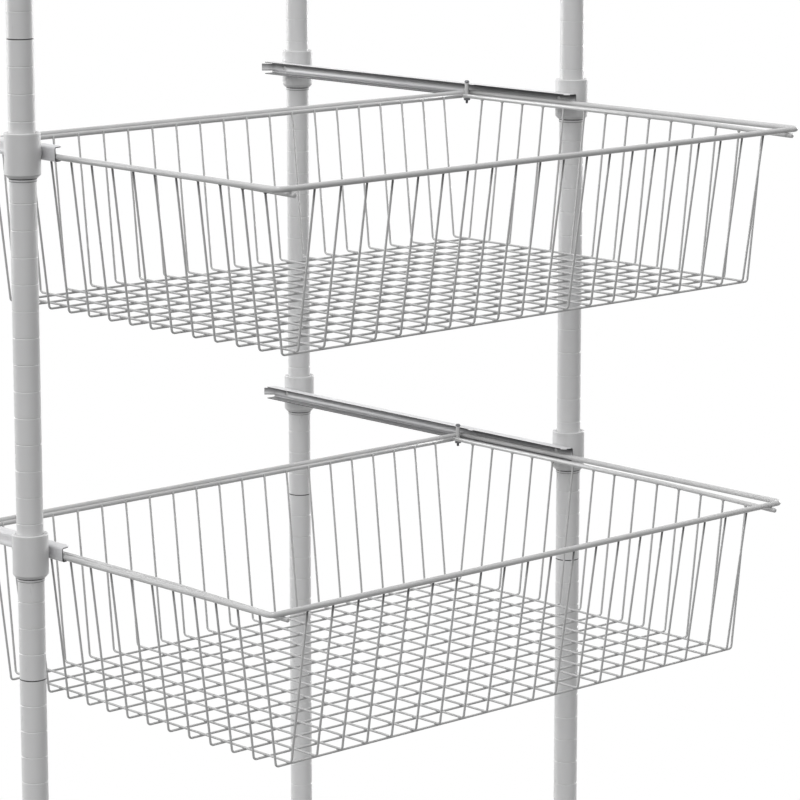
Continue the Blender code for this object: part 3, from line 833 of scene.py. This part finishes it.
def sleeve(shape):
    """Split sleeve that grips the post, from the collar's lower edge."""
    skirt = SLEEVE_BORE + SLEEVE_SKIRT_WALL
    outline = [
        (SLEEVE_BORE, -SLEEVE_SKIRT),
        (skirt - SLEEVE_EDGE, -SLEEVE_SKIRT),
        (skirt, -SLEEVE_SKIRT + SLEEVE_RIM),
        (skirt, -SLEEVE_NECK),
        (SLEEVE_BORE + SLEEVE_NECK_WALL, -SLEEVE_NECK + SLEEVE_EDGE),
        (SLEEVE_BORE + SLEEVE_NECK_WALL, 0),
        (SLEEVE_BORE + SLEEVE_BOTTOM_WALL, SLEEVE_SHOULDER),
        (SLEEVE_BORE + SLEEVE_TOP_WALL, COLLAR_HEIGHT - SLEEVE_SHORT),
        (SLEEVE_BORE, COLLAR_HEIGHT - SLEEVE_SHORT),
    ]
    slit = SLEEVE_SLIT / SLEEVE_BORE
    sides = MOULDING_SIDES
    angles = [slit / 2 + (FULL_TURN - slit) * step / sides for step in range(sides + 1)]
    turn(shape, outline, sides, angles=angles)
    # The neck just under the collar and the skirt's lower rim get the dark edge look as painted
    # shadow, under the collar and under the skirt.
    for face in shape.faces:
        z = face.calc_center_median().z
        if -SLEEVE_NECK < z < 0 or z < -SLEEVE_SKIRT + SLEEVE_RIM:
            face.material_index = EDGE_LOOK


def collar_ring(shape):
    """Collar with a rounded rim, a short chamfer at its foot and a fine moulding seam."""
    bore_bottom = SLEEVE_BORE + SLEEVE_BOTTOM_WALL + FIT_GAP
    bore_top = SLEEVE_BORE + SLEEVE_TOP_WALL + FIT_GAP
    outline = [
        (bore_bottom, 0),
        (COLLAR_RADIUS - COLLAR_FOOT, 0),
        (COLLAR_RADIUS - COLLAR_FOOT + 0.0002, 0.0002),
        (COLLAR_RADIUS - 0.0003, COLLAR_FOOT_HEIGHT - 0.0004),
        (COLLAR_RADIUS, COLLAR_FOOT_HEIGHT),
        (COLLAR_RADIUS, COLLAR_FOOT_HEIGHT + 0.0006),
        (COLLAR_RADIUS, COLLAR_HEIGHT - LIP_ROUND - 0.0008),
    ]
    for across, up in quarter(6):
        outline.append((
            COLLAR_RADIUS - LIP_ROUND * (1 - across),
            COLLAR_HEIGHT - LIP_ROUND * (1 - up),
        ))
    outline += [(bore_top + 0.0003, COLLAR_HEIGHT), (bore_top, COLLAR_HEIGHT - 0.0003)]
    even = [FULL_TURN * step / MOULDING_SIDES for step in range(MOULDING_SIDES)]
    clear = [angle for angle in even if abs(angle - SEAM_ANGLE) > 2 * SEAM_HALF]
    angles = sorted(clear + [SEAM_ANGLE - SEAM_HALF, SEAM_ANGLE, SEAM_ANGLE + SEAM_HALF])

    def dent(angle):
        return SEAM_DEPTH if abs(angle - SEAM_ANGLE) < SEAM_HALF / 2 else 0.0

    turn(shape, outline, MOULDING_SIDES, angles=angles, dent=dent)


def collar():
    """Collar with the pad and rivet that hold the rail on its +X side."""
    pad_root = sqrt(COLLAR_RADIUS ** 2 - (PAD_WIDTH / 2) ** 2) - SINK
    pad_face = COLLAR_RADIUS + PAD_STAND
    outline = rounded_rectangle(PAD_WIDTH, PAD_HEIGHT, PAD_CORNER, 4)
    pad = made("collar_pad", prism, outline, pad_root, pad_face,
               lambda u, v, w: (w, u, RAIL_RISE + v))
    rivet = made("collar_rivet", sweep, [
        (pad_face - PAD_STAND / 2, 0, RAIL_RISE), (pad_face + RAIL_WALL, 0, RAIL_RISE),
    ], RIVET_RADIUS, RIVET_SIDES)
    return combined("collar", made("collar_ring", collar_ring), [pad, rivet], "UNION")


def channel_outline():
    """The rail's section: (distance in from the web's outer face, height from the middle)."""
    half = RAIL_HEIGHT / 2
    inner_radius = RAIL_BEND - RAIL_WALL
    outer = []
    inner = []
    for up, across in quarter(6):
        outer.append((RAIL_BEND * (1 - across), half - RAIL_BEND * (1 - up)))
        inner.append((RAIL_BEND - inner_radius * across, half - RAIL_BEND + inner_radius * up))
    upper = [(RAIL_DEPTH, half)] + outer
    lower = [(u, -v) for u, v in reversed(upper)]
    inside = [(RAIL_DEPTH, half - RAIL_WALL)] + inner
    inside_lower = [(u, -v) for u, v in reversed(inside)]
    return upper + lower + inside_lower[::-1] + inside[::-1]


def rail(name, side, finish):
    """Rail with its mouth towards the middle of the frame; side is 1 at the right, -1 left."""
    half = RAIL_HEIGHT / 2
    bury = RAIL_WALL / 2

    def along_y(u, v, w):
        return (side * (RAIL_WEB_X - u), w, v)

    def across_z(u, v, w):
        return (side * (RAIL_WEB_X - u), RAIL_BACK + v, w)

    channel = made(name + "_channel", prism, channel_outline(), RAIL_FRONT, RAIL_BACK, along_y)
    slant = TONGUE_LENGTH / sqrt(2)
    tongue = made(name + "_tongue", prism, [
        (0, -bury), (RAIL_WALL, -bury), (RAIL_WALL, 0), (slant + RAIL_WALL, slant),
        (slant, slant + RAIL_WALL), (0, RAIL_WALL),
    ], -TONGUE_HEIGHT / 2, TONGUE_HEIGHT / 2, across_z)
    stop_y = REAR_Y - FULL_PULL_OUT + STOP_Y - STOP_SLEEVE - FIT_GAP
    parts = [tongue]
    for low in (half - RAIL_WALL, -half):
        parts.append(made(name + "_ear", block,
                          (side * RAIL_MOUTH_X - EAR_WIDTH, stop_y - EAR_LENGTH, low),
                          (side * RAIL_MOUTH_X + EAR_WIDTH, stop_y, low + RAIL_WALL)))
    solid = combined(name + "_joined", channel, parts, "UNION")
    cutters = []
    for hole_y in (FRONT_Y, REAR_Y):
        cutters.append(made(name + "_hole", sweep, [
            (side * (RAIL_WEB_X + OVERRUN), hole_y, 0),
            (side * (RAIL_WEB_X - RAIL_WALL - OVERRUN), hole_y, 0),
        ], RIVET_RADIUS + FIT_GAP, RIVET_SIDES))
    nose = [(RAIL_DEPTH + OVERRUN, -OVERRUN), (RAIL_DEPTH + OVERRUN, RAIL_NOSE)]
    for across, back in quarter(8):
        nose.append((RAIL_DEPTH - RAIL_NOSE * (1 - across), RAIL_NOSE * (1 - back)))
    nose.append((RAIL_DEPTH - RAIL_NOSE, -OVERRUN))
    reach = half + OVERRUN

    def nose_place(u, v, w):
        return (side * (RAIL_WEB_X - u), RAIL_FRONT + v, w)

    cutters.append(made(name + "_nose", prism, nose, -reach, reach, nose_place))
    mesh = combined(name, solid, cutters, "DIFFERENCE", bevel=RAIL_SOFT_EDGE)
    dressed(mesh, finish["zinc"], finish["edge"], finish["track"])
    slack = 0.0002
    # Cut edges and ends get the dark edge look, partly the cut metal and partly painted shade;
    # the inside of the channel gets the track look with its painted shade and highlight.
    for face in mesh.polygons:
        deep = RAIL_WEB_X - abs(face.center.x)
        tip = abs(face.normal.x) > 0.6 and deep > RAIL_DEPTH - slack
        end = abs(face.normal.y) > 0.8 and abs(face.center.y - RAIL_BACK) > RAIL_WALL
        inside = deep > RAIL_WALL - slack and abs(face.center.z) < half - RAIL_WALL + slack
        if tip or end:
            face.material_index = EDGE_LOOK
        elif inside:
            face.material_index = TRACK_LOOK
    return mesh


def frame_rod(shape):
    """The basket's outer rod, with a weld where its ends meet."""
    corners = [
        (FRAME_X, 0, 0), (-FRAME_X, 0, 0),
        (-FRAME_X, FRAME_FRONT_Y, 0), (FRAME_X, FRAME_FRONT_Y, 0),
    ]
    path = rounded_path(corners, FRAME_CORNER, CORNER_STEPS, closed=True)
    sweep(shape, path, FRAME_ROD, FRAME_ROD_SIDES, closed=True)
    bead(shape, (FRAME_WELD_X, 0, 0), FRAME_WELD)


def side_rod_level(y):
    """Height of the side rods' axes, which slope down to pass under the frame's front run."""
    share = min(max((SLOPE_REAR_Y - y) / SLOPE_LENGTH, 0), 1)
    return -SIDE_DROP - share * (ROD_CLEARANCE - SIDE_DROP)


def cross_wires(shape):
    """Both side rods, the wires that run from side to side, their welds and the stop sleeves."""
    for side in (-1, 1):
        path = []
        for y in (SIDE_ROD_REAR_Y, SLOPE_REAR_Y, SLOPE_FRONT_Y, SIDE_ROD_FRONT_Y):
            path.append((side * SIDE_ROD_X, y, side_rod_level(y)))
        sweep(shape, path, SIDE_ROD, SIDE_ROD_SIDES, round_ends=ROD_END)
        turn(shape, [
            (STOP_BORE, STOP_BOTTOM),
            (STOP_SLEEVE - STOP_EDGE, STOP_BOTTOM),
            (STOP_SLEEVE, STOP_BOTTOM + STOP_EDGE),
            (STOP_SLEEVE, STOP_TOP - STOP_EDGE),
            (STOP_SLEEVE - STOP_EDGE, STOP_TOP),
            (STOP_BORE, STOP_TOP),
        ], STOP_SIDES, (side * STOP_X, STOP_Y, 0))
    for face in shape.faces:
        face.material_index = ROD_LOOK
    foot_x = SIDE_ROD_X - SIDE_LEAN
    for index in range(CROSS_WIRES):
        y = -(FIRST_WIRE + index * WIRE_PITCH)
        rod_z = side_rod_level(y)
        path = rounded_path([
            (-SIDE_ROD_X, y, rod_z), (-foot_x, y, CROSS_Z),
            (foot_x, y, CROSS_Z), (SIDE_ROD_X, y, rod_z),
        ], BEND, BEND_STEPS)
        sweep(shape, path, WIRE, WIRE_SIDES)
        for side in (-1, 1):
            bead(shape, (side * (SIDE_ROD_X - SIDE_WELD_IN), y, rod_z - SIDE_ROD), SIDE_WELD)


def long_wires(shape):
    """The rear rod, the wires that run from front to back and their welds."""
    rod_end = SIDE_ROD_X - SIDE_ROD - FIT_GAP
    ends = [(-rod_end, REAR_ROD_Y, -SIDE_DROP), (rod_end, REAR_ROD_Y, -SIDE_DROP)]
    sweep(shape, ends, SIDE_ROD, SIDE_ROD_SIDES, round_ends=ROD_END)
    for face in shape.faces:
        face.material_index = ROD_LOOK
    weld_z = (LONG_Z + CROSS_Z) / 2
    for index in range(LONG_WIRES):
        x = (index - (LONG_WIRES - 1) / 2) * WIRE_PITCH
        path = rounded_path([
            (x, REAR_TOP_Y, TOP_RISE - SIDE_DROP), (x, REAR_FOOT_Y, LONG_Z),
            (x, FRONT_FOOT_Y, LONG_Z), (x, FRONT_TOP_Y, TOP_RISE),
        ], BEND, BEND_STEPS)
        sweep(shape, path, WIRE, WIRE_SIDES, round_ends=WIRE_END)
        bead(shape, (x, REAR_TOP_Y + REAR_WELD_BACK, -SIDE_DROP - REAR_WELD_DROP), REAR_WELD)
        bead(shape, (x, FRONT_TOP_Y - FRONT_WELD_OUT, -FRONT_WELD_DROP), FRONT_WELD)
        for row in range(CROSS_WIRES):
            y = -(FIRST_WIRE + row * WIRE_PITCH)
            bead(shape, (x, y, weld_z), CROSSING_WELD)


def stop_screw(shape):
    """Stop screw: a dimpled pan head, a plain shank and a threaded tail."""
    under_head = STOP_TOP + FIT_GAP
    nut_top = STOP_BOTTOM - FIT_GAP
    tip = nut_top - NUT_HEIGHT - SCREW_TAIL
    outline = [(0, tip), (SCREW - 2 * SCREW_THREAD, tip)]
    height = tip + SCREW_THREAD
    while height + SCREW_PITCH < nut_top:
        outline += [(SCREW - SCREW_THREAD, height), (SCREW, height + SCREW_PITCH / 2)]
        height += SCREW_PITCH
    outline += [(SCREW, height), (SCREW, under_head), (SCREW_HEAD, under_head)]
    for across, up in quarter(6):
        outline.append((
            SCREW_HEAD * (0.25 + 0.75 * across),
            under_head + SCREW_HEAD_HEIGHT * (0.3 + 0.7 * up),
        ))
    outline += [
        (0.0004, under_head + SCREW_HEAD_HEIGHT * 0.6),
        (0, under_head + SCREW_HEAD_HEIGHT * 0.5),
    ]
    turn(shape, outline, SCREW_SIDES)


def stop_nut(shape):
    """Hexagonal nut with chamfered corners."""
    top = STOP_BOTTOM - FIT_GAP
    bottom = top - NUT_HEIGHT
    bore = SCREW + FIT_GAP
    flat = NUT * cos(pi / 6)
    rings = []
    for radius, height, hexagonal in (
        (flat, bottom, False), (flat, bottom + NUT_CHAMFER, True),
        (flat, top - NUT_CHAMFER, True), (flat, top, False),
        (bore, top, False), (bore, bottom, False),
    ):
        ring = []
        for step in range(NUT_SIDES):
            angle = FULL_TURN * step / NUT_SIDES
            reach = radius / cos((angle % (pi / 3)) - pi / 6) if hexagonal else radius
            ring.append(shape.verts.new((reach * cos(angle), reach * sin(angle), height)))
        rings.append(ring)
    bridge(shape, rings, closed=True)


def wall_bracket():
    """Clip round a rear post, with an arm back to a plate on the wall."""
    half_ring = BRACKET_RING_HEIGHT / 2
    outer = SLEEVE_BORE + BRACKET_RING_WALL

    def ring(shape):
        turn(shape, [
            (SLEEVE_BORE, -half_ring), (outer, -half_ring),
            (outer, half_ring), (SLEEVE_BORE, half_ring),
        ], MOULDING_SIDES)

    plate_w, plate_h, plate_t = BRACKET_PLATE
    plate_front = BRACKET_REACH - plate_t
    arm_w, arm_h = BRACKET_ARM
    arm_root = sqrt(outer ** 2 - (arm_w / 2) ** 2) - SINK
    arm = made("bracket_arm", block, (-arm_w / 2, arm_root, -arm_h / 2),
               (arm_w / 2, plate_front + plate_t / 2, arm_h / 2))
    outline = rounded_rectangle(plate_w, plate_h, BRACKET_CORNER, 6)
    plate = made("bracket_plate", prism, outline, plate_front, BRACKET_REACH,
                 lambda u, v, w: (u, w, v))
    solid = combined("bracket_joined", made("bracket_ring", ring), [arm, plate], "UNION")
    holes = []
    for level in (-1, 1):
        z = level * BRACKET_HOLES_APART / 2
        holes.append(made("bracket_hole", sweep, [
            (0, plate_front - OVERRUN, z), (0, BRACKET_REACH + OVERRUN, z)
        ], BRACKET_HOLE, SCREW_SIDES))
    return combined("wall_bracket", solid, holes, "DIFFERENCE", bevel=BRACKET_SOFT_EDGE)


# Building

def build_posts(finish):
    """Posts, feet and caps."""
    looks = (finish["post"], finish["edge"])
    plain = dressed(made("post_section", post_section, False), *looks)
    jointed = dressed(made("post_section_jointed", post_section, True), *looks)
    foot_mesh = dressed(made("foot", foot), finish["foot"])
    cap_mesh = dressed(made("cap", cap), finish["moulding"])
    for row, y in (("front", FRONT_Y), ("rear", REAR_Y)):
        for hand, side in HAND_SIDES:
            x = side * POST_X
            corner = row + "_" + hand
            for index, level in enumerate(("bottom", "middle", "top")):
                node = corner + "_post_" + level
                z = FOOT_HEIGHT + index * SECTION
                mesh = jointed if index else plain
                show(node + "_tube", mesh, "frame", [node], (x, y, z))
            show(corner + "_levelling_foot", foot_mesh, "frame",
                 [corner + "_foot"], (x, y, 0))
            show(corner + "_end_cap", cap_mesh, "frame",
                 [corner + "_cap"], (x, y, POST_TOP))


def build_rails(finish):
    """Rails, collars and sleeves."""
    collar_mesh = dressed(collar(), finish["moulding"])
    sleeve_mesh = dressed(made("sleeve", sleeve), finish["moulding"], finish["edge"])
    rails = {hand: rail(hand + "_rail", side, finish) for hand, side in HAND_SIDES}
    for level, z in COLLAR_Z.items():
        for hand, side in HAND_SIDES:
            node = level + "_" + hand + "_rail"
            show(node + "_channel", rails[hand], "frame", [node], (0, 0, z + RAIL_RISE))
            turned = pi if side > 0 else 0.0
            for row, y in (("front", FRONT_Y), ("rear", REAR_Y)):
                base = level + "_" + row + "_" + hand
                place = (side * POST_X, y, z)
                show(base + "_moulded_collar", collar_mesh, "frame",
                     [base + "_collar"], place, turned)
                show(base + "_split_sleeve", sleeve_mesh, "frame",
                     [base + "_sleeve"], place, turned)


def shade_outer_sides(mesh, outward):
    """Give the outer sides of the wires the coat with the painted shadow of the rods on their
    tops.
    """
    for face in mesh.polygons:
        if face.material_index == 0 and face.normal.dot(outward(face.center)) > -0.2:
            face.material_index = SHADED_LOOK


def build_baskets(finish):
    """Baskets with their stop screws."""
    looks = (finish["coat"], finish["rod"], finish["shaded_coat"])
    rod_mesh = dressed(made("frame_rod", frame_rod), finish["rod"])
    cross_mesh = dressed(made("cross_wires", cross_wires), *looks)
    long_mesh = dressed(made("long_wires", long_wires), *looks)
    middle_y = FRAME_FRONT_Y / 2
    shade_outer_sides(cross_mesh, lambda centre: Vector((-1 if centre.x < 0 else 1, 0, 0)))
    shade_outer_sides(long_mesh, lambda centre: Vector((0, -1 if centre.y < middle_y else 1, 0)))
    screw_mesh = dressed(made("stop_screw", stop_screw), finish["screw"])
    nut_mesh = dressed(made("stop_nut", stop_nut), finish["screw"])
    for level in ("lower", "upper"):
        body = level + "_basket"
        place = Vector((0, CARRIER_Y[level], COLLAR_Z[level] + RAIL_RISE + FRAME_ABOVE_RAIL))
        for mesh, part, look in (
            (rod_mesh, "frame_rod", "round_frame"),
            (cross_mesh, "cross_wires", "side_to_side_wires"),
            (long_mesh, "long_wires", "front_to_back_wires"),
        ):
            show(body + "_" + look, mesh, body, [body + "_" + part], place)
        for hand, side in HAND_SIDES:
            spot = place + Vector((side * STOP_X, STOP_Y, 0))
            base = level + "_" + hand + "_stop_"
            show(base + "pan_screw", screw_mesh, body, [base + "screw"], spot)
            show(base + "hex_nut", nut_mesh, body, [base + "nut"], spot)


def build_brackets(finish):
    """Wall brackets on the rear posts."""
    mesh = dressed(wall_bracket(), finish["moulding"])
    for hand, side in HAND_SIDES:
        show(hand + "_bracket_clip", mesh, "frame",
             [hand + "_wall_bracket"], (side * POST_X, REAR_Y, BRACKET_Z))


# Studio

def seen_ray(tree):
    """1 for camera, glossy and transmission rays, and 0 for the rest."""
    path = tree.nodes.new("ShaderNodeLightPath")
    camera, glossy = path.outputs["Is Camera Ray"], path.outputs["Is Glossy Ray"]
    total = arithmetic(tree, "MAXIMUM", camera, glossy)
    return arithmetic(tree, "MAXIMUM", total, path.outputs["Is Transmission Ray"])


def build_world():
    """White where it is seen or reflected, and a plain level of light elsewhere."""
    world = bpy.data.worlds.new("studio")
    bpy.context.scene.world = world
    world.use_nodes = True
    tree = world.node_tree
    background = tree.nodes["Background"]
    background.inputs["Color"].default_value = (1, 1, 1, 1)
    level = between(tree, seen_ray(tree), AMBIENT, 1.0, 0.0, 1.0)
    tree.links.new(level, background.inputs["Strength"])


def build_floor():
    """Pale floor that keeps the shadow near the object and is white further out."""
    shape = bmesh.new()
    bmesh.ops.create_circle(shape, cap_ends=True, radius=FLOOR_RADIUS, segments=96)
    mesh = bpy.data.meshes.new("floor")
    shape.to_mesh(mesh)
    shape.free()
    floor = bpy.data.objects.new("floor", mesh)
    bpy.context.scene.collection.objects.link(floor)
    material = bpy.data.materials.new("pale_floor")
    material.use_nodes = True
    tree = material.node_tree
    tree.nodes.clear()
    output = tree.nodes.new("ShaderNodeOutputMaterial")
    path = tree.nodes.new("ShaderNodeLightPath")
    lit = tree.nodes.new("ShaderNodeBsdfDiffuse")
    pale = mixed(tree, path.outputs["Is Camera Ray"], (0.34, 0.34, 0.34), (0.3, 0.3, 0.3))
    tree.links.new(pale, lit.inputs["Color"])
    glow = tree.nodes.new("ShaderNodeEmission")
    white = tree.nodes.new("ShaderNodeEmission")
    for light in (glow, white):
        light.inputs["Color"].default_value = (1, 1, 1, 1)
    seen = seen_ray(tree)
    tree.links.new(arithmetic(tree, "MULTIPLY", seen, FLOOR_GLOW), glow.inputs["Strength"])
    tree.links.new(seen, white.inputs["Strength"])
    both = tree.nodes.new("ShaderNodeAddShader")
    tree.links.new(lit.outputs[0], both.inputs[0])
    tree.links.new(glow.outputs[0], both.inputs[1])
    where = tree.nodes.new("ShaderNodeNewGeometry")
    length = tree.nodes.new("ShaderNodeVectorMath")
    length.operation = "LENGTH"
    tree.links.new(where.outputs["Position"], length.inputs[0])
    far = between(tree, length.outputs["Value"], 0.0, 1.0, *FLOOR_FADE)
    blend = tree.nodes.new("ShaderNodeMixShader")
    tree.links.new(far, blend.inputs[0])
    tree.links.new(both.outputs[0], blend.inputs[1])
    tree.links.new(white.outputs[0], blend.inputs[2])
    tree.links.new(blend.outputs[0], output.inputs["Surface"])
    mesh.materials.append(material)


def lamp(name, towards, level, spread):
    """Far soft light; a white surface that faces it renders at the given level."""
    data = bpy.data.lights.new(name, "SUN")
    data.energy = level * pi
    data.angle = radians(spread)
    light = bpy.data.objects.new(name, data)
    bpy.context.scene.collection.objects.link(light)
    light.location = Vector(towards).normalized() * LAMP_DISTANCE
    light.rotation_euler = light.location.to_track_quat("Z", "Y").to_euler()


def build_studio():
    """World, floor, lamps, camera and view settings."""
    build_world()
    build_floor()
    for values in LAMPS:
        lamp(*values)
    camera_data = bpy.data.cameras.new("camera")
    camera = bpy.data.objects.new("camera", camera_data)
    bpy.context.scene.collection.objects.link(camera)
    camera_data.sensor_width = CAMERA_SENSOR
    camera_data.lens = CAMERA_LENS
    camera_data.clip_start, camera_data.clip_end = CAMERA_CLIP
    camera.location = CAMERA_PLACE
    camera.rotation_euler = CAMERA_TURN
    bpy.context.scene.camera = camera
    bpy.context.scene.view_settings.view_transform = "Standard"


def main():
    """Everything that is shown: the studio, the looks and the pieces."""
    build_studio()
    finish = {
        "post": enamel_material(),
        "coat": coat_material("wire_coat_look", 0.44, 0.49, 0.0, 0.26),
        "shaded_coat": coat_material("shaded_wire_coat_look", 0.44, 0.49, 0.9, 0.26),
        # the rods have the wires' epoxy, painted a little lighter for the brighter light the rods
        # catch
        "rod": coat_material("rod_coat_look", 0.51, 0.56, 0.0, 0.14),
        "moulding": moulding_material(),
        "zinc": galvanised_material(),
        "edge": edge_material(),
        "track": track_material(),
        "screw": screw_material(),
        "foot": foot_material(),
    }
    build_posts(finish)
    build_rails(finish)
    build_baskets(finish)
    build_brackets(finish)


main()
